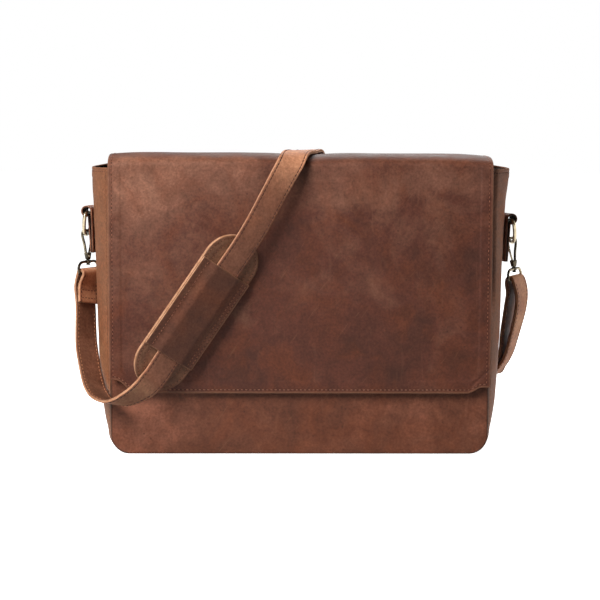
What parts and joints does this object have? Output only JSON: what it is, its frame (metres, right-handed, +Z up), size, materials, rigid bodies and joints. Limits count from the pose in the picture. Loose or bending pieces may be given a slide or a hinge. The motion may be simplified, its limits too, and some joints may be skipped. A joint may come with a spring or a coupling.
{
  "type": "leather messenger bag",
  "caption": "Upright leather messenger bag with a full front flap, bulging side gussets and a padded shoulder strap on snap hooks.",
  "frame": {"origin": "middle of the flat base, on the surface that the bag stands on", "axes": "+X along the width towards the right seen from the flap side, +Y from the flap side to the back, +Z up"},
  "size_m": [0.4664, 0.1679, 0.3042],
  "materials": {
    "body_leather": "oiled brown leather, mottled, matt",
    "gusset_leather": "oiled brown leather, mottled, matt",
    "flap_leather": "oiled dark brown leather with scuffs, matt",
    "strap_leather": "oiled brown leather with pale cut edges",
    "pad_leather": "oiled dark brown leather with pale cut edges",
    "antique_brass": "darkened antique brass, worn bright on the crowns"
  },
  "bodies": {
    "bag": {"front_panel": "body_leather", "back_panel": "body_leather", "gusset": "gusset_leather", "flap": "flap_leather", "left_tab": "strap_leather", "right_tab": "strap_leather", "strap": "strap_leather", "pad_base": "pad_leather", "pad_cover": "pad_leather", "left_ring": "antique_brass", "right_ring": "antique_brass", "left_hook": "antique_brass", "right_hook": "antique_brass", "left_swivel": "antique_brass", "right_swivel": "antique_brass", "strap_slider": "antique_brass"},
    "left_gate": {"left_gate": "antique_brass"},
    "right_gate": {"right_gate": "antique_brass"}
  },
  "joints": [
    {"name": "left_gate_hinge", "type": "hinge", "parent": "bag", "child": "left_gate", "pos_m": [-0.21526, 0.01046, 0.19542], "axis": [0.5732, -0.8191, 0.02], "range_deg": [0, 16], "stiffness_Nm_per_rad": 0.04, "springref_deg": -11.46},
    {"name": "right_gate_hinge", "type": "hinge", "parent": "bag", "child": "right_gate", "pos_m": [0.21908, 0.00954, 0.18901], "axis": [-0.5709, 0.8191, -0.055], "range_deg": [0, 16], "stiffness_Nm_per_rad": 0.04, "springref_deg": -11.46}
  ]
}
